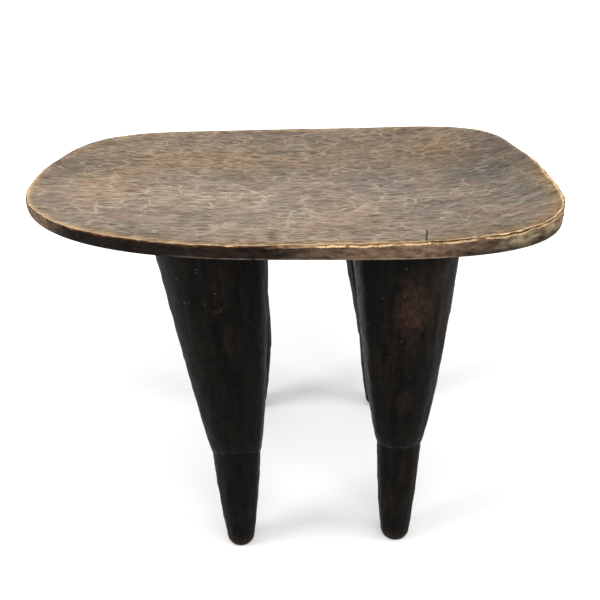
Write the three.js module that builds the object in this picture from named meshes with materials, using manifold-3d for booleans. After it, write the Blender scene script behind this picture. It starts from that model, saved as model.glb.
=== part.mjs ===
// A low stool carved from one block of wood: a wide, gently dished seat with rounded corners on four
// round legs. Each leg tapers from a thick thigh to a shallow cut at the knee, and goes on as a slimmer
// shin to a small rounded foot. Millimetres, +Z up, origin on the floor under the middle of the seat,
// +X along the seat's length, -Y towards the front.

import * as THREE from 'three';
import { mergeVertices } from 'three/addons/utils/BufferGeometryUtils.js';
import Module from 'manifold-3d';

// Seat, seen from above: a rounded rectangle whose four corners are each rounded their own way. The
// squareness is the exponent of a superellipse: 2 is an ellipse, and higher is squarer. The flattening is
// the share by which the outline falls in on either side of the corner.
const SEAT_LENGTH = 560;
const SEAT_DEPTH = 380;
const CORNERS = {
  backRight: { squareness: 3.7, flattening: 0.024 },
  backLeft: { squareness: 3, flattening: 0.02 },
  frontLeft: { squareness: 2.6, flattening: 0 },
  frontRight: { squareness: 4.15, flattening: 0 },
};

// Seat, seen from the side: the rim stands a little higher at both ends, and is cut thin at the left end
// and left thicker at the right. Along the back it is a shallow wave with a crest near each corner. The
// top is dished, and the underside is flat with its edge bevelled up to the rim.
const RIM_HEIGHT = 406;
const LEFT_END_LIFT = 4.5;
const RIGHT_END_LIFT = 8;
const END_LIFT_POWER = 3;
const BACK_WAVE = 1.2;
const BACK_RISE = 0.3;
const BACK_WAVE_LENGTH = 400;
const BACK_WAVE_CREST = 185;
const RIM_THICKNESS_LEFT = 9.4;
const RIM_THICKNESS_RIGHT = 20.6;
const DISH_DEPTH = 7;
const DISH_POWER = 3;
const UNDERSIDE_HEIGHT = 378;
const UNDERSIDE_FLAT = 0.7;
const LIP_WIDTH = 5;
const LIP_RISE = 1.2;
const RIM_ROUND = 1.6;
const SEAT_STEPS = 96;

// Legs. top and foot are the middle of the leg at the seat's underside and at the floor, and the radii
// are half the leg's width, seen from the front, at the seat, the knee and the ankle. A thighPower below 1
// makes the thigh fuller just above the knee.
const LEGS = [
  {
    top: [-80.2, -112], foot: [-65.5, -145.4], thigh: 57.5, knee: 27.6, ankle: 16.4,
    thighPower: 0.81, kneeHeight: 128, arch: 17,
  },
  {
    top: [116.9, -112], foot: [119.2, -141.2], thigh: 55.9, knee: 25.1, ankle: 17.2,
    thighPower: 0.72, kneeHeight: 135, arch: 8,
  },
  {
    top: [-98, 108], foot: [-59.3, 128], thigh: 50, knee: 28, ankle: 18,
    thighPower: 0.82, kneeHeight: 104, arch: 12,
  },
  {
    top: [102, 108], foot: [125.4, 127], thigh: 51.4, knee: 30.5, ankle: 16.5,
    thighPower: 0.82, kneeHeight: 128, arch: 12,
  },
];
const LEG_DEPTH_RATIO = 0.93;
const LEG_BURIED = 9;
const LEAN_POWER = 1.2;
const SHIN_SWELL = 1.3;
const KNEE_CUT = 0.5;
const KNEE_CUT_HEIGHT = 2.2;
const KNEE_REACH = 70;
const FOOT_ROUND = 12;
const SOLE_RATIO = 0.58;
const FACETS = 12;
const FACET_HOLLOW = 0.016;
const FACET_DRIFT = 0.16;

const wood = new THREE.MeshStandardMaterial({
  name: 'dark worn wood', color: 0x3a322b, roughness: 0.6, metalness: 0.0,
});

const clamp01 = (value) => Math.min(1, Math.max(0, value));
const mix = (from, to, share) => from + (to - from) * share;

// A closed surface from rings of points: the rings run from the one pole to the other, every ring has as
// many points as the next, and each end is closed by a fan about its pole.
function closedFromRings(firstPole, rings, lastPole) {
  const around = rings[0].length;
  const points = [firstPole, ...rings.flat(), lastPole];
  const triangles = [];
  const at = (ring, step) => 1 + ring * around + (step % around);
  for (let step = 0; step < around; step += 1) {
    triangles.push(0, at(0, step), at(0, step + 1));
    for (let ring = 0; ring + 1 < rings.length; ring += 1) {
      triangles.push(at(ring, step), at(ring + 1, step), at(ring + 1, step + 1));
      triangles.push(at(ring, step), at(ring + 1, step + 1), at(ring, step + 1));
    }
    triangles.push(points.length - 1, at(rings.length - 1, step + 1), at(rings.length - 1, step));
  }
  const geometry = new THREE.BufferGeometry();
  geometry.setAttribute('position', new THREE.Float32BufferAttribute(points.flat(), 3));
  geometry.setIndex(triangles);
  return geometry;
}

// The seat's outline at a turn of 0 to 2 pi from the right end, counter-clockwise seen from above.
function seatOutline(turn) {
  const along = Math.cos(turn);
  const across = Math.sin(turn);
  const corner = CORNERS[(across >= 0 ? 'back' : 'front') + (along >= 0 ? 'Right' : 'Left')];
  const power = corner.squareness;
  const square = (Math.abs(along) ** power + Math.abs(across) ** power) ** (-1 / power);
  const reach = square * (1 - corner.flattening * Math.sin(4 * turn) ** 2);
  return [(SEAT_LENGTH / 2) * along * reach, (SEAT_DEPTH / 2) * across * reach];
}

function rimHeight(x, y) {
  const lift = x < 0 ? LEFT_END_LIFT : RIGHT_END_LIFT;
  const wave = BACK_WAVE * Math.cos((2 * Math.PI * (x - BACK_WAVE_CREST)) / BACK_WAVE_LENGTH);
  const towardsBack = Math.max(0, y / (SEAT_DEPTH / 2));
  const atEnds = lift * Math.abs(x / (SEAT_LENGTH / 2)) ** END_LIFT_POWER;
  return RIM_HEIGHT + atEnds + (BACK_RISE + wave) * towardsBack;
}

const rimThickness = (x) => mix(RIM_THICKNESS_LEFT, RIM_THICKNESS_RIGHT, x / SEAT_LENGTH + 0.5);

// Height of the dished top at a share of the way from the middle (0) to the outline (1).
function dishHeight(x, y, share) {
  return rimHeight(x, y) - LIP_RISE - DISH_DEPTH * (1 - share ** DISH_POWER);
}

// Height of the underside: flat in the middle, then bevelled up to the rim's lower edge.
function undersideHeight(edgeX, edgeY, share) {
  const rise = clamp01((share - UNDERSIDE_FLAT) / (1 - UNDERSIDE_FLAT));
  return mix(UNDERSIDE_HEIGHT, rimHeight(edgeX, edgeY) - rimThickness(edgeX), rise);
}

// One ring of the seat. place(x, y, radius) is told of a point of the outline, and gives the share of its
// radius to draw it in by and the height there.
function seatRing(place) {
  const ring = [];
  for (let step = 0; step < SEAT_STEPS; step += 1) {
    const [x, y] = seatOutline((2 * Math.PI * step) / SEAT_STEPS);
    const [share, height] = place(x, y, Math.hypot(x, y));
    ring.push([x * share, y * share, height]);
  }
  return ring;
}

function seatSolid() {
  const dishShares = [0.2, 0.4, 0.58, 0.73, 0.85, 0.93];
  const undersideShares = [0.9, UNDERSIDE_FLAT, 0.35];
  const lowEdge = (x, y) => rimHeight(x, y) - rimThickness(x);
  const rings = [
    ...dishShares.map((share) => seatRing((x, y) => [share, dishHeight(x * share, y * share, share)])),
    seatRing((x, y, radius) => [1 - LIP_WIDTH / radius, dishHeight(x, y, 1 - LIP_WIDTH / radius)]),
    seatRing((x, y, radius) => [1 - RIM_ROUND / radius, rimHeight(x, y)]),
    seatRing((x, y) => [1, rimHeight(x, y) - RIM_ROUND]),
    seatRing((x, y) => [1, lowEdge(x, y) + RIM_ROUND]),
    seatRing((x, y, radius) => [1 - RIM_ROUND / radius, lowEdge(x, y)]),
    ...undersideShares.map((share) => seatRing((x, y) => [share, undersideHeight(x, y, share)])),
  ];
  return closedFromRings([0, 0, dishHeight(0, 0, 0)], rings, [0, 0, UNDERSIDE_HEIGHT]);
}

// Half the leg's width at a height, seen from the front.
function legRadius(leg, height) {
  if (height >= leg.kneeHeight) {
    const up = (height - leg.kneeHeight) / (UNDERSIDE_HEIGHT - leg.kneeHeight);
    return mix(leg.knee, leg.thigh, up ** leg.thighPower);
  }
  const down = 1 - (height - FOOT_ROUND) / (leg.kneeHeight - FOOT_ROUND);
  if (height >= FOOT_ROUND) {
    return mix(leg.knee - KNEE_CUT, leg.ankle, down) + SHIN_SWELL * Math.sin(Math.PI * down);
  }
  const flare = Math.sqrt(1 - (1 - height / FOOT_ROUND) ** 2);
  return leg.ankle * mix(SOLE_RATIO, 1, flare);
}

// Middle of the leg at a height: it leans towards its place under the seat.
function legMiddle(leg, height) {
  const thighShare = clamp01((height - leg.kneeHeight) / (UNDERSIDE_HEIGHT - leg.kneeHeight));
  return [
    mix(leg.foot[0], leg.top[0], thighShare ** LEAN_POWER),
    mix(leg.foot[1], leg.top[1], height / UNDERSIDE_HEIGHT),
  ];
}

// One ring of a leg. The corners between the long flat cuts drift a little from leg to leg, and near the
// knee the ring arches up over the leg's outer side, as the cut there does.
function legRing(leg, index, height) {
  const [middleX, middleY] = legMiddle(leg, height);
  const outer = Math.sign(leg.foot[1]);
  const nearKnee = clamp01(1 - Math.abs(height - leg.kneeHeight) / KNEE_REACH);
  const ring = [];
  for (let step = 0; step < 2 * FACETS; step += 1) {
    const drift = FACET_DRIFT * Math.sin(2.4 * Math.floor(step / 2) + 1.7 * index);
    const turn = (Math.PI * step) / FACETS + drift * (step % 2 === 0 ? 1 : 0.5);
    const hollow = step % 2 === 0 ? 1 : 1 - FACET_HOLLOW;
    const radius = legRadius(leg, height) * hollow;
    const facing = Math.max(0, outer * Math.sin(turn));
    const x = middleX + radius * Math.cos(turn);
    const y = middleY + radius * LEG_DEPTH_RATIO * Math.sin(turn);
    ring.push([x, y, height + leg.arch * nearKnee * facing]);
  }
  return ring;
}

function legSolid(leg, index) {
  const top = UNDERSIDE_HEIGHT + LEG_BURIED;
  const knee = leg.kneeHeight;
  const heights = [
    top, UNDERSIDE_HEIGHT - 6, 340, 305, 270, 235, 200, knee + 48, knee + 26, knee + 9, knee,
    knee - KNEE_CUT_HEIGHT, knee - 18, knee - 42, 58, 36, FOOT_ROUND + 6, FOOT_ROUND, 7, 3, 1, 0,
  ];
  const rings = heights.map((height) => legRing(leg, index, height));
  return closedFromRings([...legMiddle(leg, top), top], rings, [...legMiddle(leg, 0), 0]);
}

// The seat and the legs joined into one body.
const wasm = await Module();
wasm.setup();

function solidOf(geometry) {
  const merged = mergeVertices(geometry);
  return new wasm.Manifold(new wasm.Mesh({
    numProp: 3,
    vertProperties: Float32Array.from(merged.attributes.position.array),
    triVerts: Uint32Array.from(merged.index.array),
  }));
}

function geometryOf(solid) {
  const mesh = solid.getMesh();
  const geometry = new THREE.BufferGeometry();
  geometry.setAttribute('position', new THREE.Float32BufferAttribute(mesh.vertProperties, 3));
  geometry.setIndex(Array.from(mesh.triVerts));
  return geometry;
}

const block = LEGS.map((leg, index) => solidOf(legSolid(leg, index)))
  .reduce((joined, leg) => joined.add(leg), solidOf(seatSolid()));

const stool = new THREE.Mesh(geometryOf(block), wood);
stool.name = 'stool';

const group = new THREE.Group();
group.name = 'carved stool';
group.add(stool);

export default group;
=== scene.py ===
from math import cos, pi, radians, sin

import bmesh
import bpy
import numpy as np
from mathutils import Matrix, Vector


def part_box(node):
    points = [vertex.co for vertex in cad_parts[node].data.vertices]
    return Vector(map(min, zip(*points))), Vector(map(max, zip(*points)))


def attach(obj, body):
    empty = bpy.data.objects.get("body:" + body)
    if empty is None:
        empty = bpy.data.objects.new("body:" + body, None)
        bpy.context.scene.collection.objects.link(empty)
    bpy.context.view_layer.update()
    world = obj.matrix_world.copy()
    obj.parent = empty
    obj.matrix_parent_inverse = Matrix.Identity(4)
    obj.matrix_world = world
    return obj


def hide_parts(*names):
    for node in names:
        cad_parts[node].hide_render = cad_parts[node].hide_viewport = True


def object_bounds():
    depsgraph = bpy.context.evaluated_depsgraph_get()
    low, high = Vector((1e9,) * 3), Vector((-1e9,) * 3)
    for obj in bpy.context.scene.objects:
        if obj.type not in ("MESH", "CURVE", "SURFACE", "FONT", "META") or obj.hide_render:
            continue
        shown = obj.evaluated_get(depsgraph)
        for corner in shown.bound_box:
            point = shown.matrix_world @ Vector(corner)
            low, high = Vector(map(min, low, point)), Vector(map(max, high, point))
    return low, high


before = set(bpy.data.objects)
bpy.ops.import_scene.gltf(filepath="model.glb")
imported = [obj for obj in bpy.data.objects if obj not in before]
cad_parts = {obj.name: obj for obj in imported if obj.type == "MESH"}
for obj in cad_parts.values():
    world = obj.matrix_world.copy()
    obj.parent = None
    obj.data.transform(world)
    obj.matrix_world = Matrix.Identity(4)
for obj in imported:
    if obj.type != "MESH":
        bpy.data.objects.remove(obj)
cad_box = [list(corner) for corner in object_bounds()]


# The floor and the light
# A plain white floor that runs on past the picture, in a white room, under one broad soft light from the
# front and above. A low light at either side leaves the floor in shade only between the feet.

MM = 0.001
SEAT_TOP = cad_box[1][2]
# The numbers of the outputs that are used of a Texture Coordinate node and of a colour Mix.
OBJECT_PLACE = 3
MIXED_COLOUR = 2
# How far a noise moves a spot's edge, and where the spot ends and is full.
SPOT_RAGGED = 2.4
SPOT_GONE = 1.3
SPOT_FULL = 0.1


def linear(red, green, blue):
    """Colour values of 0 to 255 as they look on a screen, made into amounts of light by the sRGB curve."""
    shares = np.array([red, green, blue]) / 255
    light = np.where(shares <= 0.04045, shares / 12.92, ((shares + 0.055) / 1.055) ** 2.4)
    return (*light, 1.0)


class Wire:
    """One output in a node tree. Plain arithmetic on wires and numbers adds the Math nodes for it."""

    def __init__(self, bench, socket):
        self.bench = bench
        self.socket = socket

    def __add__(self, other):
        return self.bench.maths("ADD", self, other)

    def __radd__(self, other):
        return self.bench.maths("ADD", other, self)

    def __sub__(self, other):
        return self.bench.maths("SUBTRACT", self, other)

    def __rsub__(self, other):
        return self.bench.maths("SUBTRACT", other, self)

    def __mul__(self, other):
        return self.bench.maths("MULTIPLY", self, other)

    def __rmul__(self, other):
        return self.bench.maths("MULTIPLY", other, self)

    def __truediv__(self, other):
        return self.bench.maths("DIVIDE", self, other)

    def __pow__(self, other):
        return self.bench.maths("POWER", self, other)


class Bench:
    """A node tree to work in. node() makes any node; the other methods name the few that are used often."""

    def __init__(self, tree):
        self.tree = tree

    def node(self, kind, settings, inputs, output=0):
        """Makes a node: its settings first, then a value or a wire for each input, and returns an output."""
        made = self.tree.nodes.new(kind)
        for name, value in settings.items():
            setattr(made, name, value)
        for name, value in inputs.items():
            if isinstance(value, Wire):
                self.tree.links.new(value.socket, made.inputs[name])
            else:
                made.inputs[name].default_value = value
        return Wire(self, made.outputs[output]) if made.outputs else None

    def maths(self, operation, first, second=0.0):
        """One Math node. The second number has no part in an operation on a single value."""
        return self.node("ShaderNodeMath", {"operation": operation}, {0: first, 1: second})

    def own_place(self):
        """Where a point lies on the object, in metres. The floor and the stool both sit at the origin."""
        return self.node("ShaderNodeTexCoord", {}, {}, OBJECT_PLACE)

    def noise(self, place, scale, detail=3.0, rough=0.55):
        """Soft noise from 0 to 1, 0.5 on average. The scale is its waves in each metre of the place."""
        inputs = {"Vector": place, "Scale": scale, "Detail": detail, "Roughness": rough}
        return self.node("ShaderNodeTexNoise", {}, inputs)

    def multiply(self, first, second):
        """Two colours or two places multiplied part by part."""
        return self.node("ShaderNodeVectorMath", {"operation": "MULTIPLY"}, {0: first, 1: second})

    def stretch(self, place, x, y, z):
        """The place with each axis multiplied by its own number."""
        return self.multiply(place, (x, y, z))

    def split(self, place):
        """The three parts of a place or of a colour."""
        parts = self.node("ShaderNodeSeparateXYZ", {}, {0: place}).socket.node
        return [Wire(self, parts.outputs[number]) for number in range(3)]

    def join(self, x, y, z):
        """Three numbers as one place."""
        return self.node("ShaderNodeCombineXYZ", {}, {0: x, 1: y, 2: z})

    def times(self, colour, amount):
        """A colour made lighter or darker by an amount."""
        return self.node("ShaderNodeVectorMath", {"operation": "SCALE"}, {0: colour, 3: amount})

    def spots(self, first, second, ragged, places):
        """Soft ragged ovals. Each is a middle, two half widths and a strength. The sum of the two squared
        shares of the half widths, moved by the ragged noise, takes it from full to nothing."""
        total = 0.0
        for middle_a, middle_b, half_a, half_b, strength in places:
            off = ((first - middle_a) / half_a) ** 2 + ((second - middle_b) / half_b) ** 2
            total = self.rise(off + (ragged - 0.5) * SPOT_RAGGED, SPOT_GONE, SPOT_FULL) * strength + total
        return total

    def rise(self, value, low, high):
        """0 below low, 1 above high, and a smooth step between them. low may be the larger one."""
        settings = {"interpolation_type": "SMOOTHSTEP", "clamp": True}
        return self.node("ShaderNodeMapRange", settings, {0: value, 1: low, 2: high, 3: 0.0, 4: 1.0})

    def fall(self, value, low, high, amount):
        """1 below low, and the amount less above high, with the same smooth step between them."""
        return 1 - self.rise(value, low, high) * amount

    def blend(self, share, first, second):
        """The first colour at share 0 and the second at share 1."""
        settings = {"data_type": "RGBA", "clamp_factor": True}
        return self.node("ShaderNodeMix", settings, {0: share, 6: first, 7: second}, MIXED_COLOUR)

    def feed(self, shader, name, wire):
        """Links a wire to one of the shader's sockets."""
        self.tree.links.new(wire.socket, shader.inputs[name])


def new_material(name):
    """An empty material with its Principled shader: returns the material, its bench and the shader node."""
    material = bpy.data.materials.new(name)
    material.use_nodes = True
    return material, Bench(material.node_tree), material.node_tree.nodes["Principled BSDF"]


FLOOR_HALF = 14.0
FLOOR_WHITE = (0.8, 0.8, 0.8, 1.0)
GLOW_NEAR = (0.1, 0.1, 0.095, 1.0)
GLOW_FAR = (1.0, 1.0, 1.0, 1.0)
GLOW_STARTS = 0.45
GLOW_FULL = 1.5
ROOM_WHITE = (1.0, 1.0, 1.0, 1.0)
ROOM_LIGHT = 0.86

floor_mesh = bpy.data.meshes.new("floor")
floor_corners = [(-FLOOR_HALF, -FLOOR_HALF, 0), (FLOOR_HALF, -FLOOR_HALF, 0),
                 (FLOOR_HALF, FLOOR_HALF, 0), (-FLOOR_HALF, FLOOR_HALF, 0)]
floor_mesh.from_pydata(floor_corners, [], [(0, 1, 2, 3)])
floor = bpy.data.objects.new("floor", floor_mesh)
bpy.context.scene.collection.objects.link(floor)
floor_paint, paint, floor_shader = new_material("white floor")
from_middle = paint.node("ShaderNodeVectorMath", {"operation": "LENGTH"}, {0: paint.own_place()}, 1)
glow = paint.blend(paint.rise(from_middle, GLOW_STARTS, GLOW_FULL), GLOW_NEAR, GLOW_FAR)
paint.feed(floor_shader, "Emission Color", glow)
floor_shader.inputs["Base Color"].default_value = FLOOR_WHITE
floor_shader.inputs["Roughness"].default_value = 1.0
floor_shader.inputs["Specular IOR Level"].default_value = 0.0
floor_shader.inputs["Emission Strength"].default_value = 1.0
floor_mesh.materials.append(floor_paint)


def soft_light(name, place, target, width, height, watts):
    """A rectangular area light at a place, turned to face a target."""
    lamp = bpy.data.lights.new(name, "AREA")
    lamp.shape = "RECTANGLE"
    lamp.size = width
    lamp.size_y = height
    lamp.energy = watts
    holder = bpy.data.objects.new(name, lamp)
    holder.location = place
    holder.rotation_euler = (Vector(target) - Vector(place)).to_track_quat("-Z", "Y").to_euler()
    bpy.context.scene.collection.objects.link(holder)


stool_middle = (0.0, 0.0, 0.5 * SEAT_TOP)
soft_light("front_light", (0.4, -1.9, 2.6), stool_middle, 2.4, 1.6, 34.0)
soft_light("left_light", (-2.3, -0.75, 1.25), stool_middle, 1.1, 1.1, 45.0)
soft_light("right_light", (2.3, -0.65, 1.25), stool_middle, 1.1, 1.1, 27.0)

studio = bpy.data.worlds.new("studio")
studio.use_nodes = True
studio.node_tree.nodes["Background"].inputs["Color"].default_value = ROOM_WHITE
studio.node_tree.nodes["Background"].inputs["Strength"].default_value = ROOM_LIGHT
bpy.context.scene.world = studio
bpy.context.scene.view_settings.view_transform = "Standard"


# The camera
# It stands in front of the stool, a little over the seat, looks down at it, and is a hair off level.

CAMERA_PLACE = (0.001, -0.807, 0.686)
CAMERA_DOWN = radians(28.55)
CAMERA_TURN = radians(0.65)
CAMERA_ROLL = radians(0.73)
CAMERA_LENS = 45.24
SENSOR_WIDTH = 36.0

ahead = Vector((sin(CAMERA_TURN) * cos(CAMERA_DOWN),
                cos(CAMERA_TURN) * cos(CAMERA_DOWN), -sin(CAMERA_DOWN)))
level = Vector((cos(CAMERA_TURN), -sin(CAMERA_TURN), 0.0))
above = level.cross(ahead)
across = cos(CAMERA_ROLL) * level - sin(CAMERA_ROLL) * above
upright = cos(CAMERA_ROLL) * above + sin(CAMERA_ROLL) * level
camera_data = bpy.data.cameras.new("camera")
camera_data.lens = CAMERA_LENS
camera_data.sensor_width = SENSOR_WIDTH
camera = bpy.data.objects.new("camera", camera_data)
turned = Matrix((across, upright, -ahead)).transposed()
camera.matrix_world = Matrix.Translation(CAMERA_PLACE) @ turned.to_4x4()
bpy.context.scene.collection.objects.link(camera)
bpy.context.scene.camera = camera


# The seat
# The upper end of the block: a wide board, hollowed on top with an adze and left thin at the rim. The
# edge is worn round and chipped, and the underside is cut flat with a bevel up to the rim.

stool_low, stool_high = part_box("stool")
SEAT_HALF_LENGTH = 0.5 * (stool_high.x - stool_low.x)
SEAT_HALF_DEPTH = 0.5 * (stool_high.y - stool_low.y)
BACK_RIGHT, BACK_LEFT, FRONT_LEFT, FRONT_RIGHT = range(4)
SQUARENESS = np.array([3.7, 3.0, 2.6, 4.15])
FLATTENING = np.array([0.024, 0.02, 0.0, 0.0])
RIGHT_END_LIFT = 8 * MM
LEFT_END_LIFT = 4.5 * MM
END_LIFT_POWER = 3
CORNER_LIFT = 2.6 * MM
CORNER_LIFT_ALONG = (0.2, 0.65)
CORNER_LIFT_ACROSS = (0.0, 0.5)
BACK_WAVE = 1.2 * MM
BACK_RISE = 0.3 * MM
BACK_WAVE_LENGTH = 400 * MM
BACK_WAVE_CREST = 185 * MM
RIM_HEIGHT = stool_high.z - RIGHT_END_LIFT
RIM_THICKNESS_LEFT = 9.4 * MM
RIM_THICKNESS_RIGHT = 20.6 * MM
DISH_DEPTH = 7 * MM
DISH_POWER = 3
LIP_WIDTH = 5 * MM
LIP_RISE = 1.2 * MM
RIM_ROUND = 1.6 * MM
RIM_ROUND_ANGLES = (30, 60, 90)
WEAR_FADES_BY = 120  # degrees round the rim's edge
RIM_UNEVEN = 0.25 * MM
ROUGH_WAVES = range(7, 60, 3)
WEAR_WAVES = range(5, 45, 3)
SIDE_SHARES = (0.12, 0.26, 0.4, 0.55, 0.7, 0.84, 0.94)
SIDE_BULGE = 0.35 * MM
LOW_ROUND = [(0.3 * MM, 0.9 * MM), (1.2 * MM, 0.0)]
UNDERSIDE_HEIGHT = RIM_HEIGHT - 28 * MM
UNDERSIDE_FLAT = 0.7
UNDERSIDE_SHARES = (0.95, 0.88, 0.79, UNDERSIDE_FLAT, 0.52, 0.3, 0.12)
STEPS_ALONG = 248
STEPS_ACROSS = 168
RIM_CROWDING = 0.4
NEAR_RIM = 30 * MM
# Chips in the front edge: the place along the seat, the half width and the depth of each.
CHIPS = [(-0.083, 5 * MM, 1.3 * MM), (0.01, 4 * MM, 1.1 * MM), (-0.02, 9 * MM, 0.5 * MM),
         (0.152, 6 * MM, 0.7 * MM), (-0.19, 7 * MM, 0.6 * MM), (0.215, 4 * MM, 1.0 * MM)]
random = np.random.default_rng(7)


def seat_outline(turn):
    """The seat's edge seen from above. A superellipse: the direction is turn, the reach is the inverse root
    of the summed powers of its cosine and sine, and it falls in by the flattening beside each corner."""
    along, beside = np.cos(turn), np.sin(turn)
    corner = np.where(beside >= 0, np.where(along >= 0, BACK_RIGHT, BACK_LEFT),
                      np.where(along >= 0, FRONT_RIGHT, FRONT_LEFT))
    power = SQUARENESS[corner]
    reach = (np.abs(along) ** power + np.abs(beside) ** power) ** (-1 / power)
    reach = reach * (1 - FLATTENING[corner] * np.sin(4 * turn) ** 2)
    return SEAT_HALF_LENGTH * along * reach, SEAT_HALF_DEPTH * beside * reach


def smooth(value, low, high):
    """0 below low, 1 above high, and between them three times the square less twice the cube of the share."""
    share = np.clip((value - low) / (high - low), 0, 1)
    return share * share * (3 - 2 * share)


def corner_lift(x, y):
    """How much thicker the rim is left at the front left corner, by a smooth step along and one across."""
    along = smooth(-x / SEAT_HALF_LENGTH, *CORNER_LIFT_ALONG)
    return CORNER_LIFT * along * smooth(-y / SEAT_HALF_DEPTH, *CORNER_LIFT_ACROSS)


def rim_height(x, y):
    """The rim's height: level in the middle, lifted at each end with the cube of the distance, and raised
    and lowered along the back by a cosine wave that fades out towards the seat's middle line."""
    lift = np.where(x < 0, LEFT_END_LIFT, RIGHT_END_LIFT)
    wave = BACK_WAVE * np.cos(2 * pi * (x - BACK_WAVE_CREST) / BACK_WAVE_LENGTH)
    towards_back = np.clip(y / SEAT_HALF_DEPTH, 0, None)
    ends = lift * np.abs(x / SEAT_HALF_LENGTH) ** END_LIFT_POWER
    return RIM_HEIGHT + ends + (BACK_RISE + wave) * towards_back + corner_lift(x, y)


def rim_thickness(x):
    """The rim's thickness, in a straight line from the thin left end to the thick right end."""
    share = 0.5 + 0.5 * x / SEAT_HALF_LENGTH
    return RIM_THICKNESS_LEFT + (RIM_THICKNESS_RIGHT - RIM_THICKNESS_LEFT) * share


def wander(turn, waves, size):
    """An uneven line round the seat: a sum of sines of the turn with whole numbers of waves, so it closes."""
    line = np.zeros_like(turn)
    for count in waves:
        line += random.normal() * np.sin(count * turn + random.uniform(0, 2 * pi)) / np.sqrt(len(waves))
    return size * line


def crowd(steps):
    """Numbers from -1 to 1 that stand closer together at both ends, by a sine added to an even count."""
    even = np.linspace(-1, 1, steps + 1)
    return even + RIM_CROWDING * np.sin(pi * even) / pi


def seat_mesh():
    """The seat as one closed surface: a sheet of squares for the dished top, pulled to the outline ring by
    ring, then rows that run round the rim and on below to a point in the middle of the underside. The
    top falls from the rim with the cube of the share of the way in, and by a straight lip beside the rim."""
    u, v = np.meshgrid(crowd(STEPS_ALONG), crowd(STEPS_ACROSS), indexing="ij")
    share = np.maximum(np.abs(u), np.abs(v))
    edge_x, edge_y = seat_outline(np.arctan2(v, u))
    radius = np.hypot(edge_x, edge_y)
    pulled = share * (1 - RIM_ROUND / radius)
    x, y = edge_x * pulled, edge_y * pulled
    inset = radius * (1 - pulled)
    dish = DISH_DEPTH * (1 - pulled ** DISH_POWER)
    lip = LIP_RISE * np.clip((inset - RIM_ROUND) / (LIP_WIDTH - RIM_ROUND), 0, 1)
    z = rim_height(x, y) - dish - lip
    count = u.size
    number = np.arange(count).reshape(u.shape)
    top = np.stack([number[:-1, :-1], number[1:, :-1], number[1:, 1:], number[:-1, 1:]], -1).reshape(-1, 4)
    border = np.concatenate([number[-1, :-1], number[:0:-1, -1], number[0, :0:-1], number[:-1, 0]])

    turn = np.arctan2(v.ravel()[border], u.ravel()[border])
    rim_x, rim_y = seat_outline(turn)
    rim_r = np.hypot(rim_x, rim_y)
    thick = rim_thickness(rim_x) + corner_lift(rim_x, rim_y)
    crest_height = rim_height(rim_x, rim_y)
    rough = wander(turn, ROUGH_WAVES, RIM_UNEVEN)
    wear = wander(turn, WEAR_WAVES, RIM_UNEVEN)
    for place, half_width, depth in CHIPS:
        wear += depth * np.exp(-((rim_x - place) / half_width) ** 2) * (rim_y < 0)
    rows = []
    for angle in RIM_ROUND_ANGLES:
        out = RIM_ROUND * (1 - sin(radians(angle)))
        down = RIM_ROUND * (1 - cos(radians(angle)))
        rows.append((out + rough + wear * (1 - angle / WEAR_FADES_BY), down + 0 * turn))
    for part in SIDE_SHARES:
        bulge = SIDE_BULGE * sin(pi * part)
        rows.append((rough * (1 - part) - bulge + 0 * turn, RIM_ROUND + (thick - 2 * RIM_ROUND) * part))
    for inwards, up in LOW_ROUND:
        rows.append((inwards + 0 * turn, thick - up))
    sheets = [np.stack([x, y, z], -1).reshape(-1, 3)]
    rim_marks = [np.stack([inset, 0 * inset], -1).reshape(-1, 2)]
    for inset_row, drop in rows:
        scale = 1 - inset_row / rim_r
        sheets.append(np.stack([rim_x * scale, rim_y * scale, crest_height - drop], -1))
        rim_marks.append(np.stack([inset_row, drop], -1))
    low_edge = crest_height - thick
    for part in UNDERSIDE_SHARES:
        rise = np.clip((part - UNDERSIDE_FLAT) / (1 - UNDERSIDE_FLAT), 0, 1)
        height = UNDERSIDE_HEIGHT + (low_edge - UNDERSIDE_HEIGHT) * rise
        sheets.append(np.stack([rim_x * part, rim_y * part, height], -1))
        rim_marks.append(np.stack([rim_r * (1 - part), thick], -1))
    around = len(border)
    ring_count = len(rows) + len(UNDERSIDE_SHARES)
    rings = np.vstack([border[None], count + np.arange(ring_count * around).reshape(ring_count, around)])
    a, b = rings[:-1], rings[1:]
    bands = np.stack([a, b, np.roll(b, -1, 1), np.roll(a, -1, 1)], -1).reshape(-1, 4)
    last = rings[-1]
    pole = count + ring_count * around
    cap = np.stack([last, np.full(around, pole), np.roll(last, -1)], -1)
    sheets.append(np.array([[0, 0, UNDERSIDE_HEIGHT]]))
    rim_marks.append(np.array([[NEAR_RIM, 0]]))
    points = np.vstack(sheets)
    marks = np.vstack(rim_marks)
    near = np.clip(1 - marks[:, 0] / NEAR_RIM, 0, 1)
    none, ones = np.zeros(len(points)), np.ones(len(points))
    on_top = none.copy()
    on_top[:count] = 1
    fields = {"near_rim": near, "drop": marks[:, 1], "top": on_top, "leg": none, "knee": ones, "flank": none,
              "kept": ones}
    return points, [top, bands, cap], fields


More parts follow.
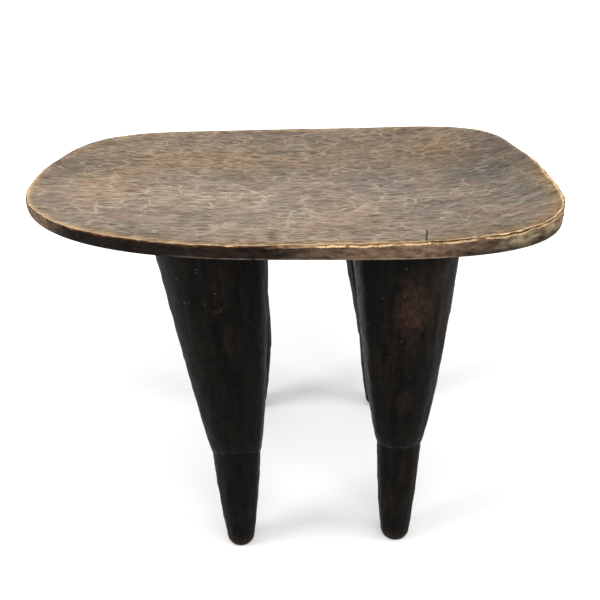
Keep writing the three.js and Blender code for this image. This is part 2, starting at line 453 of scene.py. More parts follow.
def mesh_of(name, points, faces, fields):
    """A mesh object from points and groups of faces, with one number per point for each field. The fields
    are: how near a point lies to the rim and how far below its crest, whether it is on the seat's top or on
    a leg, where it lies beside the knee, which way it faces on the leg, and that it was there before the
    join."""
    mesh = bpy.data.meshes.new(name)
    corners = np.concatenate([group.ravel() for group in faces])
    sizes = np.concatenate([np.full(len(group), group.shape[1]) for group in faces])
    starts = np.concatenate([[0], np.cumsum(sizes)[:-1]])
    mesh.vertices.add(len(points))
    mesh.vertices.foreach_set("co", points.astype(np.float32).ravel())
    mesh.loops.add(len(corners))
    mesh.loops.foreach_set("vertex_index", corners.astype(np.int32))
    mesh.polygons.add(len(sizes))
    mesh.polygons.foreach_set("loop_start", starts.astype(np.int32))
    mesh.update(calc_edges=True)
    for field, values in fields.items():
        mesh.attributes.new(field, "FLOAT", "POINT").data.foreach_set("value", values.astype(np.float32))
    made = bpy.data.objects.new(name, mesh)
    bpy.context.scene.collection.objects.link(made)
    return made


seat = mesh_of("seat", *seat_mesh())


# The legs
# The rest of the block: four round legs, pared with long cuts that leave soft flats, thick at the thigh
# and slimmer below a shallow cut at the knee, each with a small rounded foot worn flat below.

# In millimetres: the leg's middle under the seat and on the floor, its half widths, the knee's height and
# how much higher the knee's cut stands on the outer side. The power shapes the thigh.
LEGS = [
    {"top": (-80.2, -112), "foot": (-65.5, -145.4), "thigh": 57.5, "knee": 27.6, "ankle": 16.4,
     "power": 0.81, "height": 128, "arch": 17},
    {"top": (116.9, -112), "foot": (119.2, -141.2), "thigh": 55.9, "knee": 25.1, "ankle": 17.2,
     "power": 0.72, "height": 135, "arch": 8},
    {"top": (-98, 108), "foot": (-59.3, 128), "thigh": 50, "knee": 28, "ankle": 18,
     "power": 0.82, "height": 104, "arch": 12},
    {"top": (102, 108), "foot": (125.4, 127), "thigh": 51.4, "knee": 30.5, "ankle": 16.5,
     "power": 0.82, "height": 128, "arch": 12},
]
LEG_DEPTH_RATIO = 0.93
LEG_BURIED = 9 * MM
LEAN_POWER = 1.2
SHIN_SWELL = 1.3 * MM
KNEE_CUT = 0.5 * MM
KNEE_CUT_HEIGHT = 2.2 * MM
KNEE_REACH = 70 * MM
FOOT_ROUND = 12 * MM
SOLE_RATIO = 0.58
FACETS = 12
FACET_HOLLOW = 0.016
FACET_DRIFT = 0.16
DRIFT_BY_CORNER = 2.4
DRIFT_BY_LEG = 1.7
STEPS_AROUND_LEG = 84
THIGH_ROWS = 56
KNEE_ROWS = 6
SHIN_ROWS = 26
FOOT_ROWS = 9
ABOVE_KNEE = 14 * MM
AT_KNEE = 1 * MM
BELOW_KNEE = -3.4 * MM
KNEE_MARK_REACH = 20 * MM


def leg_radius(leg, height):
    """Half the leg's width at a height: a power curve from knee to thigh, a nearly straight shin with a
    slight sine swell, and a quarter ellipse at the foot."""
    knee_at = leg["height"] * MM
    up = np.clip((height - knee_at) / (UNDERSIDE_HEIGHT - knee_at), 0, None)
    thigh = (leg["knee"] + (leg["thigh"] - leg["knee"]) * up ** leg["power"]) * MM
    down = np.clip(1 - (height - FOOT_ROUND) / (knee_at - FOOT_ROUND), 0, 1)
    knee = leg["knee"] * MM - KNEE_CUT
    shin = knee + (leg["ankle"] * MM - knee) * down + SHIN_SWELL * np.sin(pi * down)
    flare = np.sqrt(np.clip(1 - (1 - np.clip(height / FOOT_ROUND, 0, 1)) ** 2, 0, 1))
    step = smooth(height, knee_at - KNEE_CUT_HEIGHT, knee_at)
    return (shin + (thigh - shin) * step) * (SOLE_RATIO + (1 - SOLE_RATIO) * flare)


def leg_middle(leg, height):
    """The middle of the leg at a height: straight from foot to seat one way, and the other way upright to
    the knee and then leaning with a power of the share of the way up."""
    knee_at = leg["height"] * MM
    up = np.clip((height - knee_at) / (UNDERSIDE_HEIGHT - knee_at), 0, None) ** LEAN_POWER
    x = leg["foot"][0] + (leg["top"][0] - leg["foot"][0]) * up
    y = leg["foot"][1] + (leg["top"][1] - leg["foot"][1]) * height / UNDERSIDE_HEIGHT
    return x * MM, y * MM


def leg_mesh(leg, index):
    """One leg as a closed surface: a ring at each height. Corners drawn out of step by a sine divide it into
    flats, where the radius is less by a parabola, and the rings beside the knee are lifted on the outer
    side by the sine of the turn."""
    knee_at = leg["height"] * MM
    top = UNDERSIDE_HEIGHT + LEG_BURIED
    heights = np.concatenate([
        np.linspace(top, knee_at + ABOVE_KNEE, THIGH_ROWS, endpoint=False),
        np.linspace(knee_at + ABOVE_KNEE, knee_at + AT_KNEE, KNEE_ROWS, endpoint=False),
        np.linspace(knee_at + AT_KNEE, knee_at + BELOW_KNEE, KNEE_ROWS, endpoint=False),
        np.linspace(knee_at + BELOW_KNEE, FOOT_ROUND, SHIN_ROWS, endpoint=False),
        FOOT_ROUND * (1 - np.sin(np.linspace(0, pi / 2, FOOT_ROWS))),
    ])
    per_flat = STEPS_AROUND_LEG // FACETS
    corner = np.arange(FACETS + 1)
    drift = FACET_DRIFT * np.sin(DRIFT_BY_CORNER * (corner % FACETS) + DRIFT_BY_LEG * index)
    corner_turn = 2 * pi * corner / FACETS + drift
    share = np.tile(np.arange(per_flat) / per_flat, FACETS)
    flat = np.repeat(np.arange(FACETS), per_flat)
    turn = corner_turn[flat] + (corner_turn[flat + 1] - corner_turn[flat]) * share
    hollow = 1 - FACET_HOLLOW * (1 - (2 * share - 1) ** 2)
    radius = leg_radius(leg, heights)[:, None] * hollow[None]
    middle_x, middle_y = leg_middle(leg, heights)
    facing = np.maximum(0, np.sign(leg["foot"][1]) * np.sin(turn))[None]
    near_knee = np.clip(1 - np.abs(heights - knee_at) / KNEE_REACH, 0, 1)[:, None]
    x = middle_x[:, None] + radius * np.cos(turn)
    y = middle_y[:, None] + radius * LEG_DEPTH_RATIO * np.sin(turn)
    z = heights[:, None] + leg["arch"] * MM * near_knee * facing
    rows, around = x.shape
    number = np.arange(rows * around).reshape(rows, around)
    a, b = number[:-1], number[1:]
    bands = np.stack([a, b, np.roll(b, -1, 1), np.roll(a, -1, 1)], -1).reshape(-1, 4)
    first, last = number[0], number[-1]
    upper = np.stack([np.full(around, rows * around), first, np.roll(first, -1)], -1)
    lower = np.stack([np.full(around, rows * around + 1), np.roll(last, -1), last], -1)
    poles = np.array([[middle_x[0], middle_y[0], top], [middle_x[-1], middle_y[-1], 0]])
    points = np.vstack([np.stack([x, y, z], -1).reshape(-1, 3), poles])
    from_knee = np.clip((heights[:, None] - knee_at + 0 * z) / KNEE_MARK_REACH, -1, 1)
    knee = np.concatenate([from_knee.ravel(), [1, -1]])
    flank = np.concatenate([(np.cos(turn)[None] + 0 * z).ravel(), [0, 0]])
    none, ones = np.zeros(len(points)), np.ones(len(points))
    fields = {"near_rim": none, "drop": none, "top": none, "leg": ones, "knee": knee, "flank": flank,
              "kept": ones}
    return points, [bands, upper, lower], fields


# The whole stool
# Seat and legs are one piece of wood, so the five surfaces are joined into one. The adze's short hollows
# on the seat and the knife's longer ones on the legs are then cut into it.

SEAT_CELL = (24 * MM, 14 * MM)
SEAT_CELL_SLANT = 0.12
SEAT_CELL_DEPTH = 0.42 * MM
SEAT_HOLLOW_WIDTH = 0.42
LONG_CELL = (37 * MM, 8.5 * MM)
LONG_CELL_SLANT = -0.1
CELL_SHIFTS = ((26.0, (0.03, 0.018, 0.0)), (75.0, (0.017, 0.012, 0.0)), (210.0, (0.005, 0.004, 0.0)))
LEG_CELL = (15 * MM, 15 * MM, 42 * MM)
LEG_CELL_DEPTH = 0.6 * MM
LEG_HOLLOW_WIDTH = 0.4
LEG_HOLLOW_MEAN = 0.62
LEG_WAVE = 2.4 * MM
LEG_WAVE_SCALE = 62.0
BENDS_RIGHT_OF = 0.1
BENDS_LEFT_OF = -0.17
BEND_RIGHT = 1.1
BEND_LEFT = 0.8
# The waves in each metre of the two noises that the rows waver by, and how far each moves them.
WAVERS = ((14.0, 0.012), (70.0, 0.0055))
RIM_FADE = (0.92, 0.72)  # from no hollows to full ones, as the nearness to the rim falls
SOLE_FADE = (4 * MM, 20 * MM)
JOINT_SHARE = 0.5  # how far the points that the join adds count as leg
LEG_SHARE = 0.7  # faces with a corner above it are leg wood
SHARP_ANGLE = 40


def along_grain(bench, place):
    """The place bent so that the tool's rows, straight in it, turn up towards the back at the right end
    and a little down at the left, with the square of the distance, and waver by two noises as they go."""
    x, y, z = bench.split(place)
    right = bench.maths("MAXIMUM", x - BENDS_RIGHT_OF, 0.0)
    left = bench.maths("MAXIMUM", BENDS_LEFT_OF - x, 0.0)
    broad, fine = [(bench.noise(place, waves, 2.0) - 0.5) * reach for waves, reach in WAVERS]
    return bench.join(x, y - right * right * BEND_RIGHT + left * left * BEND_LEFT + (broad + fine), z)


def adze_cells(bench, place, cell_size, slant):
    """The net of hollows on the seat top: cells about as long and as wide as one adze cut, drawn out of
    line by three noises. Gives the distance to the nearest ridge, in cells, and a colour for each cell."""
    shift = place
    settings = {"operation": "MULTIPLY_ADD"}
    for scale, reach in CELL_SHIFTS:
        noise = bench.node("ShaderNodeTexNoise", {}, {"Vector": place, "Scale": scale, "Detail": 1.0}, 1)
        shift = bench.node("ShaderNodeVectorMath", settings, {0: noise, 1: reach, 2: shift})
    x, y = bench.split(shift)[:2]
    spread = bench.join(x / cell_size[0], (y + x * slant) / cell_size[1], 0.0)
    settings = {"voronoi_dimensions": "2D", "feature": "DISTANCE_TO_EDGE"}
    edge = bench.node("ShaderNodeTexVoronoi", settings, {"Vector": spread, "Scale": 1.0})
    settings = {"voronoi_dimensions": "2D", "feature": "F1"}
    cell = bench.node("ShaderNodeTexVoronoi", settings, {"Vector": spread, "Scale": 1.0}, 1)
    return edge, cell


def paring_cells(bench, place):
    """The long shallow hollows on the legs, as cells that are tall and narrow. Gives the distance to the
    nearest ridge, in cells."""
    spread = bench.stretch(place, 1 / LEG_CELL[0], 1 / LEG_CELL[1], 1 / LEG_CELL[2])
    settings = {"feature": "DISTANCE_TO_EDGE"}
    return bench.node("ShaderNodeTexVoronoi", settings, {"Vector": spread, "Scale": 1.0})


def hollow(edge, width):
    """A hollow's depth from 0 at its ridge to 1 in its middle, as a parabola over the width."""
    inward = edge.bench.node("ShaderNodeClamp", {}, {0: edge / width})
    return 1 - (1 - inward) ** 2


def tool_marks():
    """The node group that cuts the hollows. It moves each point inwards along its normal: on the seat by the
    adze's hollows, which fade out at the rim, and on the legs, above the sole, by the knife's hollows less
    their mean and by slow waves."""
    tree = bpy.data.node_groups.new("tool_marks", "GeometryNodeTree")
    tree.interface.new_socket(name="Geometry", in_out="INPUT", socket_type="NodeSocketGeometry")
    tree.interface.new_socket(name="Geometry", in_out="OUTPUT", socket_type="NodeSocketGeometry")
    bench = Bench(tree)
    source = bench.node("NodeGroupInput", {}, {})
    place = bench.node("GeometryNodeInputPosition", {}, {})
    normal = bench.node("GeometryNodeInputNormal", {}, {})

    def own_number(name):
        return bench.node("GeometryNodeInputNamedAttribute", {"data_type": "FLOAT"}, {"Name": name})

    inside = bench.rise(own_number("near_rim"), *RIM_FADE)
    cells = adze_cells(bench, along_grain(bench, place), SEAT_CELL, SEAT_CELL_SLANT)[0]
    seat_depth = hollow(cells, SEAT_HOLLOW_WIDTH) * own_number("top") * inside * SEAT_CELL_DEPTH
    above_sole = bench.rise(bench.split(place)[2], *SOLE_FADE)
    pared = (hollow(paring_cells(bench, place), LEG_HOLLOW_WIDTH) - LEG_HOLLOW_MEAN) * LEG_CELL_DEPTH
    waves = (bench.noise(bench.stretch(place, 1.0, 1.0, 0.6), LEG_WAVE_SCALE, 3.0, 0.6) - 0.5) * LEG_WAVE
    total = seat_depth + (pared + waves) * own_number("leg") * above_sole
    inward = bench.node("ShaderNodeVectorMath", {"operation": "SCALE"}, {0: normal, 3: total * -1.0})
    moved = bench.node("GeometryNodeSetPosition", {}, {"Geometry": source, "Offset": inward})
    bench.node("NodeGroupOutput", {}, {0: moved})
    return tree


def finished_mesh(worked):
    """The object's mesh as its modifiers leave it."""
    return bpy.data.meshes.new_from_object(worked.evaluated_get(bpy.context.evaluated_depsgraph_get()))


def read_field(mesh, name):
    """One of the mesh's fields as an array."""
    values = np.zeros(len(mesh.vertices), np.float32)
    mesh.attributes[name].data.foreach_get("value", values)
    return values


leg_shapes = [mesh_of(f"leg_{index}", *leg_mesh(leg, index)) for index, leg in enumerate(LEGS)]
for index, leg_shape in enumerate(leg_shapes):
    join = seat.modifiers.new(f"join_{index}", "BOOLEAN")
    join.operation = "UNION"
    join.solver = "MANIFOLD"
    join.object = leg_shape

joined = finished_mesh(seat)
for shape in leg_shapes + [seat]:
    bpy.data.objects.remove(shape)

# The join leaves points on a line with only two edges, which would give doubled triangles.
edge_ends = np.zeros(2 * len(joined.edges), np.int32)
joined.edges.foreach_get("vertices", edge_ends)
on_one_line = np.nonzero(np.bincount(edge_ends) == 2)[0]
cleaned = bmesh.new()
cleaned.from_mesh(joined)
cleaned.verts.ensure_lookup_table()
bmesh.ops.dissolve_verts(cleaned, verts=[cleaned.verts[number] for number in on_one_line])
cleaned.to_mesh(joined)
cleaned.free()

# The points that the join adds, where a leg meets the underside, get fields of their own.
added = read_field(joined, "kept") < 0.5
for name, value in {"near_rim": 0.0, "drop": 0.0, "top": 0.0, "leg": JOINT_SHARE, "knee": 1.0}.items():
    values = read_field(joined, name)
    values[added] = value
    joined.attributes[name].data.foreach_set("value", values)
joined.attributes.remove(joined.attributes["kept"])

stool = bpy.data.objects.new("carved_stool", joined)
bpy.context.scene.collection.objects.link(stool)
marks = stool.modifiers.new("tool_marks", "NODES")
marks.node_group = tool_marks()
stool_mesh = finished_mesh(stool)
stool.modifiers.clear()
stool.data = stool_mesh
stool_mesh.name = "carved_stool"
stool_mesh.polygons.foreach_set("use_smooth", np.ones(len(stool_mesh.polygons), bool))
stool_mesh.set_sharp_from_angle(angle=radians(SHARP_ANGLE))

face_corner = np.zeros(len(stool_mesh.loops), np.int32)
stool_mesh.loops.foreach_get("vertex_index", face_corner)
face_start = np.zeros(len(stool_mesh.polygons), np.int32)
stool_mesh.polygons.foreach_get("loop_start", face_start)
on_leg = np.maximum.reduceat(read_field(stool_mesh, "leg")[face_corner], face_start) > LEG_SHARE


# The seat's wood
# Brown wood gone grey with wear: fine streaks along the grain, tan where the ridges between the adze
# cuts are rubbed bare, a bright worn edge, and a rim whose side is near black on the left. A painted
# sheen lightens the middle of the top, and painted shade darkens it towards its ends and edges.

SEAT_GREY = linear(135, 121, 108)
SEAT_TAN = linear(150, 127, 99)
SEAT_COOL = linear(116, 110, 103)
NO_TINT = (1.0, 1.0, 1.0, 1.0)
TINT_RED = (1.08, 0.97, 0.93, 1.0)
TINT_GREEN = (0.97, 1.0, 0.94, 1.0)
TINT_EDGE = (1.07, 0.955, 0.76, 1.0)
RIDGE_TAN = linear(186, 163, 135)
RIDGE_GREY = linear(178, 163, 146)
THREAD_BROWN = linear(108, 86, 62)
EDGE_TAN = linear(214, 181, 137)
EDGE_ORANGE = linear(150, 106, 66)
RIM_NEAR_BLACK = linear(11, 7, 5)
RIM_BROWN = linear(70, 38, 18)
RIM_GREY = linear(96, 77, 62)
RIM_OLIVE = linear(108, 96, 74)
RIM_PALE = linear(150, 134, 118)
GAP_BROWN = linear(96, 60, 34)
SLIT_DARK = linear(36, 20, 10)
# Warm and cool places on the seat: the middle, the half widths along and across, and the strength.
WARM_PLACES = [(-0.11, 0.075, 0.13, 0.05, 0.8), (0.16, 0.085, 0.06, 0.05, 0.8),
               (-0.2, -0.01, 0.05, 0.06, 0.7), (0.05, -0.11, 0.06, 0.05, 0.4),
               (0.2, -0.16, 0.07, 0.02, 0.5), (0.0, 0.08, 0.03, 0.03, 0.3),
               (0.19, 0.125, 0.04, 0.04, 0.9)]
COOL_PLACES = [(0.235, -0.06, 0.035, 0.05, 0.9), (0.225, 0.005, 0.035, 0.03, 1.0),
               (-0.175, -0.14, 0.05, 0.025, 0.7), (0.01, -0.07, 0.05, 0.05, 0.5),
               (0.1, -0.02, 0.04, 0.04, 0.5), (0.19, 0.0, 0.04, 0.03, 0.5),
               (-0.23, 0.06, 0.03, 0.03, 0.5), (-0.05, -0.105, 0.06, 0.03, 0.55),
               (0.14, -0.095, 0.07, 0.035, 0.7), (0.015, 0.115, 0.045, 0.03, 0.75)]
# Waves in each metre along the grain, across it and upwards, from single fibres to broad bands.
FIBRE_WAVES = (90.0, 620.0, 0.0)
STREAK_WAVES = (42.0, 330.0, 0.0)
THREAD_WAVES = (20.0, 210.0, 3.0)
BAND_WAVES = (9.0, 80.0, 0.0)
DENT_CELLS = (62.0, 190.0, 0.0)
MOTTLE_WAVES = (70.0, 70.0, 240.0)
DARKEST_TONE = 0.2
CRACK_START = (0.1265, -0.1665)
CRACK_SLANT = 0.163
CRACK_HALF_WIDTH = 1 * MM
# A darkening factor for the whole top, part of its painted sheen and shade.
PAINTED_SHADE_LEVEL = 0.94
SEAT_SHEEN = 0.07

seat_wood, wood, shader = new_material("worn seat wood")


def field(bench, name):
    """One of the mesh's fields, read in a material."""
    return bench.node("ShaderNodeAttribute", {"attribute_name": name}, {}, 2)


place = wood.own_place()
along, across = wood.split(place)[:2]
end = wood.maths("ABSOLUTE", along)
inset = (1 - field(wood, "near_rim")) * NEAR_RIM
drop = field(wood, "drop")
on_top = field(wood, "top")
grain_place = along_grain(wood, place)
flat_place = wood.stretch(place, 1.0, 1.0, 0.0)

fibres, streaks, threads, bands = [wood.noise(wood.stretch(grain_place, *waves), 1.0, 3.0, 0.6)
                                   for waves in (FIBRE_WAVES, STREAK_WAVES, THREAD_WAVES, BAND_WAVES)]
clouds = wood.noise(wood.stretch(grain_place, 0.7, 1.4, 1.0), 11.0, 3.0, 0.6)
tints = wood.noise(wood.stretch(grain_place, 0.6, 1.5, 1.0), 60.0, 2.0, 0.6)
ragged = wood.noise(place, 45.0, 4.0, 0.6)
nicks = wood.noise(wood.stretch(place, 1.0, 1.0, 2.0), 150.0, 4.0, 0.62) - 0.5
mottle = wood.noise(wood.stretch(place, *MOTTLE_WAVES), 1.0, 4.0, 0.7)
edge, cell = adze_cells(wood, grain_place, SEAT_CELL, SEAT_CELL_SLANT)
long_edge = adze_cells(wood, grain_place, LONG_CELL, LONG_CELL_SLANT)[0]

# The ground is grey, drawn towards tan or a cooler grey by the places above and by the clouds, and cast a
# little red or green.
warm = wood.spots(along, across, clouds, WARM_PLACES) + wood.rise(clouds, 0.5, 0.72) * 0.5
cool = wood.spots(along, across, clouds, COOL_PLACES) + wood.rise(clouds, 0.46, 0.3) * 0.4
base = wood.blend(warm * 0.7, SEAT_GREY, SEAT_TAN)
base = wood.blend(cool * 0.8, base, SEAT_COOL)
base = wood.multiply(base, wood.blend(wood.rise(tints, 0.36, 0.64), TINT_GREEN, TINT_RED))

# The grain multiplies it by one plus a weighted sum of what each noise is off its middle, stronger away
# from the seat's long middle line. Each cut has a lightness of its own. Low threads darken it and high
# ones lighten it.
sharper = 1 + wood.rise(wood.maths("ABSOLUTE", across + 0.03), 0.05, 0.13) * 0.2
grain_tone = (streaks - 0.5) * 2.2 + (fibres - 0.5) * 2.8 + (bands - 0.5) * 1.0
tone = 1 + grain_tone * sharper + (wood.split(cell)[0] - 0.5) * 0.2
tone = tone - wood.rise(threads, 0.38, 0.28) * 0.34 + wood.rise(threads, 0.58, 0.67) * 0.24
base = wood.times(base, wood.maths("MAXIMUM", tone, DARKEST_TONE))
base = wood.blend(wood.rise(tone, 0.95, 0.45) * 0.3, base, THREAD_BROWN)

# Ridges between the cuts are rubbed light: a sharp line broken by the streaks in a wider soft one, for the
# short cuts where the wood is bare and for the long cuts where the clouds are high.
bare = wood.rise(wood.noise(place, 34.0, 3.0) + warm * 0.06, 0.4, 0.62)
broken = wood.rise(streaks, 0.34, 0.56)
ridge = (wood.rise(edge, 0.08, 0.025) * broken + wood.rise(edge, 0.24, 0.02) * 0.28) * bare * 0.95
long_ridge = (wood.rise(long_edge, 0.1, 0.03) * broken + wood.rise(long_edge, 0.3, 0.03) * 0.24) * 0.55
ridges = (ridge + long_ridge * wood.rise(clouds, 0.4, 0.55)) * wood.fall(across, -0.03, -0.09, 0.22)
tan_share = wood.rise(across, 0.0, 0.08) + wood.rise(along, -0.12, -0.22) * 0.6
base = wood.blend(ridges, base, wood.blend(tan_share, RIDGE_GREY, RIDGE_TAN))

# Small dark dents lie where the clouds are high.
dent_place = wood.stretch(grain_place, *DENT_CELLS)
dents = wood.node("ShaderNodeTexVoronoi", {}, {"Vector": dent_place, "Scale": 1.0})
base = wood.times(base, 1 - wood.rise(dents, 0.24, 0.08) * wood.rise(clouds, 0.46, 0.58) * 0.4)

# Painted sheen and shade: the middle and the left are painted lighter, as a sheen, and the ground is darkened
# as painted shade by smooth steps to the right, the back, the front edge, the front left corner and the left
# end, and is a little lighter along the far back edge.
painted_sheen_and_shade = wood.fall(along, 0.0, 0.26, 0.28) * wood.fall(across, -0.06, 0.07, 0.31)
painted_sheen_and_shade = painted_sheen_and_shade * (1 + wood.rise(along, 0.13, 0.19) * wood.rise(across, 0.07, 0.12) * 0.1)
right_middle = wood.rise(along, 0.17, 0.22) * wood.rise(across, -0.075, -0.04) * wood.rise(across, 0.06, 0.03)
painted_sheen_and_shade = painted_sheen_and_shade * (1 - right_middle * 0.12)
painted_sheen_and_shade = painted_sheen_and_shade * wood.fall(across, -0.09, -0.15, 0.13) * wood.fall(across, 0.1, 0.16, -0.03)
painted_sheen_and_shade = painted_sheen_and_shade * wood.fall(across + (along + 0.1) * 0.25, -0.13, -0.19, 0.18)
base = wood.times(base, painted_sheen_and_shade * (PAINTED_SHADE_LEVEL - wood.rise(along, -0.21, -0.26) * 0.09))

# A short crack runs in from the front edge: the dark is where the distance from its slanted line is small.
crack_off = along - CRACK_START[0] - (across - CRACK_START[1]) * CRACK_SLANT + (ragged - 0.5) * 0.005
crack = wood.rise(wood.maths("ABSOLUTE", crack_off), CRACK_HALF_WIDTH, 0.5 * CRACK_HALF_WIDTH)
crack = crack * wood.rise(across, -0.146, -0.154)
base = wood.times(base, 1 - crack * 0.8)

# Along the front, but for the left end, the top turns orange towards the rim.
front = wood.rise(across + along * along * 0.6, 0.09, 0.0)
edge_reach = wood.rise(inset + (ragged - 0.5) * 0.012, 0.025, 0.009) * front
edge_reach = edge_reach * wood.fall(along, -0.15, -0.21, 0.85)
base = wood.multiply(base, wood.blend(edge_reach, NO_TINT, TINT_EDGE))

# The crest of the rim is worn bare. below_crest is how far down the side a point lies, less half of how far
# in on the top it lies, or all of it at the ends, moved by two noises. The worn lines and the dark gap are
# ranges of it.
right_half = wood.rise(along, -0.03, 0.03)
crest_wave = wood.noise(flat_place, 60.0, 4.0, 0.65) - 0.5
crest_swing = wood.noise(flat_place, 22.0, 2.0, 0.5) - 0.5
crest_breaks = wood.noise(flat_place, 130.0, 3.0, 0.65)
below_crest = drop * 0.9 - inset * (0.5 + wood.rise(end, 0.2, 0.265) * 0.5) * on_top
below_crest = below_crest + crest_wave * 0.004 + crest_swing * 0.004
worn = wood.blend(wood.rise(crest_breaks + (along - 0.1) * 0.15, 0.52, 0.68), EDGE_TAN, EDGE_ORANGE)
worn = wood.times(worn, 1.04 + (streaks - 0.5) * 2.0 + (crest_breaks - 0.5) * 1.0)
upper_line = wood.rise(below_crest, -0.0042, -0.0028) * wood.rise(below_crest, -0.0001, -0.0008)
upper_line = upper_line * (1 - (1 - right_half) * wood.rise(crest_breaks, 0.48, 0.6) * 0.5)
halo = wood.rise(below_crest + (ragged - 0.5) * 0.008, -0.009, -0.0035) * wood.rise(along, -0.08, -0.16) * 0.4
halo = halo * wood.rise(below_crest, 0.0, -0.0013)
lower_line = wood.rise(below_crest, 0.0006, 0.0014) * wood.rise(below_crest, 0.0032, 0.0022) * right_half
lower_line = lower_line * wood.fall(along, 0.14, 0.2, 0.4)
lower_line = lower_line * (0.85 - wood.rise(crest_breaks + mottle, 0.9, 1.1) * 0.5)
worn_share = wood.maths("MAXIMUM", wood.maths("MAXIMUM", upper_line, halo), lower_line)

# Between the two lines a split shows as a dark gap, wider and darker on the right.
dark_gap = wood.rise(along, 0.1, 0.13) * wood.rise(ragged, 0.3, 0.5)
gap_colour = wood.blend(dark_gap, GAP_BROWN, SLIT_DARK)
gap_light = 0.3 + right_half * 0.7 + wood.rise(crest_breaks, 0.5, 0.6) * (1 - right_half) * 0.6
gap_colour = wood.times(gap_colour, gap_light)
gap_low = 0.0016 - (1 - right_half) * 0.0004
gap = wood.rise(below_crest, -0.001, -0.0002) * wood.rise(below_crest, gap_low, 0.0006)
gap = gap * (1 - wood.rise(crest_swing + mottle * 0.4, 0.22, 0.3) * 0.75)

# The side of the rim is near black on the left and grey on the right, with an olive end, brown just under
# the crest, and a pale line along the low edge; on the right it is darker lower down, as painted shade. The
# shares are sums of smooth steps along it.
down = drop + nicks * 0.004
light_side = wood.rise(along + (ragged - 0.5) * 0.08, -0.03, 0.06) * 0.55 + wood.rise(along, 0.06, 0.1) * 0.12
light_side = light_side + 0.02 + wood.rise(along, -0.15, -0.06) * 0.05 + wood.rise(along, -0.205, -0.25) * 0.7
light_side = light_side + wood.rise(along, 0.09, 0.115) * wood.rise(along, 0.155, 0.13) * 0.4
light_side = light_side - wood.rise(along, 0.15, 0.19) * wood.rise(along, 0.235, 0.21) * 0.2
side_colour = wood.blend(light_side, RIM_NEAR_BLACK, RIM_GREY)
olive_share = wood.rise(along, 0.17, 0.22) * wood.rise(ragged, 0.42, 0.56)
side_colour = wood.blend(olive_share, side_colour, RIM_OLIVE)
side_colour = wood.times(side_colour, 1.0 + (mottle - 0.5) * 4.0 + (ragged - 0.5) * 1.8)
# Painted shade: on the right the side is darkened lower down.
side_colour = wood.times(side_colour, 1 - wood.rise(down, 0.008, 0.016) * wood.rise(along, 0.1, 0.18) * 0.6)
brown_share = wood.rise(down, 0.004, 0.001) * wood.fall(along, -0.232, -0.26, 1.0) * 0.2
side_colour = wood.blend(brown_share * wood.rise(crest_breaks, 0.36, 0.6), side_colour, RIM_BROWN)
above_low = along * 0.02 + 0.015 - drop
low_line = wood.rise(above_low, 0.0022, 0.0012)
low_line = low_line * wood.rise(along, -0.13, -0.05) * wood.rise(along, 0.17, 0.13)
side_colour = wood.blend(low_line * wood.rise(mottle, 0.3, 0.6) * 0.35, side_colour, RIM_PALE)

side = wood.rise(drop, 0.0003, 0.001)
colour = wood.blend(side, base, side_colour)
colour = wood.blend(gap * (0.1 + 0.8 * front), colour, gap_colour)
colour = wood.blend(worn_share * (0.12 + 0.8 * front), colour, worn)
wood.feed(shader, "Base Color", colour)

# The gloss goes with the streaks and clouds, and the side is duller. The bump is the grain's own height,
# with nicks on the side and the crack cut in.
roughness = 0.55 + (streaks - 0.5) * 0.5 + (clouds - 0.5) * 0.25 + side * 0.3
wood.feed(shader, "Roughness", roughness)
grain_height = streaks * 0.8 + fibres * 0.6 + bands * 0.4 + nicks * side * 2.0 - crack * 1.5
grain = wood.node("ShaderNodeBump", {}, {"Strength": 0.8, "Distance": 1 * MM, "Height": grain_height})
wood.feed(shader, "Normal", grain)
shader.inputs["Specular IOR Level"].default_value = SEAT_SHEEN


# The legs' wood
# The same wood under a dark stain that hardly any wear has reached: near black, a little brown on the
# outer flats and at the feet, with a dry sheen.

LEG_BLACK = linear(7, 6, 4)
LEG_BROWN = linear(24, 17, 12)
LEG_GREY = linear(76, 74, 70)
LEG_RED = linear(58, 40, 30)
# Rubbed reddish places on the front legs: the middle, the half widths along and upwards, and the strength.
RED_PLACES = [(0.12, 0.322, 0.019, 0.03, 0.62), (0.118, 0.208, 0.01, 0.018, 0.25),
              (-0.073, 0.325, 0.006, 0.0022, 0.55), (-0.064, 0.29, 0.006, 0.02, 0.2),
              (0.13, 0.355, 0.03, 0.02, 0.2)]
LEG_STREAK_WAVES = (150.0, 150.0, 16.0)
SPECK_CELLS = 190.0
LEG_SHEEN = 0.04

leg_wood, dark, dark_shader = new_material("dark leg wood")
leg_place = dark.own_place()
leg_x, leg_y, leg_z = dark.split(leg_place)
tall_place = dark.stretch(leg_place, 1.0, 1.0, 0.5)
leg_clouds = dark.noise(dark.stretch(leg_place, 1.0, 1.0, 0.4), 22.0, 4.0, 0.6)
leg_streaks = dark.noise(dark.stretch(leg_place, *LEG_STREAK_WAVES), 1.0, 3.0, 0.6)
leg_nicks = dark.noise(tall_place, 190.0, 3.0, 0.65)
leg_grit = dark.noise(dark.stretch(leg_place, 1.0, 1.0, 0.45), 330.0, 4.0, 0.7)
leg_mottle = dark.noise(leg_place, 75.0, 4.0, 0.65)
flank = field(dark, "flank")
beside = dark.maths("ABSOLUTE", flank)

# Black, brown where the clouds are high, more so on the right, times one plus what streaks and nicks are
# off their middle; then the reddish places, broken up by grit.
brown = dark.rise(leg_clouds + dark.rise(leg_x, 0.08, 0.13) * 0.06, 0.5, 0.7)
leg_colour = dark.blend(brown * (0.3 + dark.rise(leg_x, -0.05, 0.1) * 0.3), LEG_BLACK, LEG_BROWN)
leg_colour = dark.times(leg_colour, 1.0 + (leg_streaks - 0.5) * 3.4 + (leg_nicks - 0.5) * 3.2)
reds = dark.spots(leg_x, leg_z, leg_mottle, RED_PLACES) * dark.rise(leg_y, -0.1, -0.14)
leg_colour = dark.blend(reds * (0.4 + dark.rise(leg_grit, 0.44, 0.62) * 0.6), leg_colour, LEG_RED)
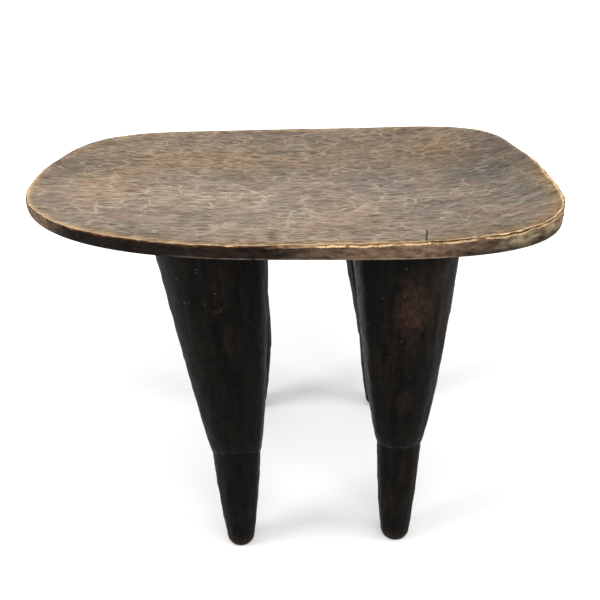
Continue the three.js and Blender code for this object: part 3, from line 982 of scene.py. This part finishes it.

# A grey band on the right front leg's inner side, in splinters and fading out downwards, is partly dry grey
# wood and partly a painted highlight where the light from the left catches that side. Corners at the legs'
# sides are painted grey, partly as rubbed wear and partly as painted highlights, with short ticks.
slanted = dark.join(leg_x, leg_y + leg_z * 0.7, leg_z * 0.45)
splinters = dark.noise(slanted, 210.0, 4.0, 0.7) - 0.5
dry_wood_and_highlight = dark.rise(flank + splinters * 0.35 - leg_z * 0.15, -0.9, -1.0) * dark.rise(leg_x, 0.0, 0.01)
dry_wood_and_highlight = dry_wood_and_highlight * dark.rise(leg_y, 0.02, 0.0) * dark.rise(leg_z, 0.14, 0.26)
dry_wood_and_highlight = dry_wood_and_highlight * (0.2 + dark.rise(splinters, -0.06, 0.1) * 0.8)
# Partly painted highlight: the side corners and their ticks are lightened grey, as wear and as light catching
# them.
rubbed_and_lit_edge = dark.rise(beside, 0.8, 0.97) * dark.rise(leg_nicks, 0.35, 0.7) * 0.07
ticks_and_glints = dark.rise(dark.noise(tall_place, 300.0, 2.0, 0.6), 0.56, 0.68)
ticks_and_glints = ticks_and_glints * dark.rise(beside, 0.75, 0.97) * dark.rise(leg_clouds, 0.42, 0.56) * 0.18
leg_colour = dark.blend(dry_wood_and_highlight + rubbed_and_lit_edge + ticks_and_glints, leg_colour, LEG_GREY)

# Fine grey specks sit in the middles of a few cells, more of them high up. The knee's cut has a thin light
# line, partly wear and partly a painted highlight along its edge, and the feet are worn reddish below.
speck_inputs = {"Vector": leg_place, "Scale": SPECK_CELLS}
specks = dark.node("ShaderNodeTexVoronoi", {}, speck_inputs)
speck_kind = dark.split(dark.node("ShaderNodeTexVoronoi", {}, speck_inputs, 1))[0]
speck = dark.rise(specks + (leg_nicks - 0.5) * 0.5, 0.24, 0.08) * dark.rise(speck_kind, 0.88, 0.93)
leg_colour = dark.blend(speck * dark.rise(leg_z, 0.14, 0.32) * 0.42, leg_colour, LEG_GREY)
knee = field(dark, "knee")
knee_wear_and_highlight = dark.rise(knee, -0.12, -0.06) * dark.rise(knee, 0.03, -0.02) * dark.rise(leg_nicks, 0.4, 0.62)
leg_colour = dark.blend(knee_wear_and_highlight * 0.18, leg_colour, LEG_GREY)
foot_worn = dark.rise(leg_z + (leg_nicks - 0.5) * 0.02, 0.02, 0.004)
leg_colour = dark.blend(foot_worn * 0.35, leg_colour, LEG_RED)
dark.feed(dark_shader, "Base Color", leg_colour)
dark.feed(dark_shader, "Roughness", 0.5 + (leg_clouds - 0.5) * 0.3)
leg_height = leg_streaks * 0.8 + leg_nicks * 0.6
leg_bump = dark.node("ShaderNodeBump", {}, {"Strength": 0.7, "Distance": 0.8 * MM, "Height": leg_height})
dark.feed(dark_shader, "Normal", leg_bump)
dark_shader.inputs["Specular IOR Level"].default_value = LEG_SHEEN

stool_mesh.materials.clear()
stool_mesh.materials.append(seat_wood)
stool_mesh.materials.append(leg_wood)
stool_mesh.polygons.foreach_set("material_index", on_leg.astype(np.int32))

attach(stool, "root")
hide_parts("stool")
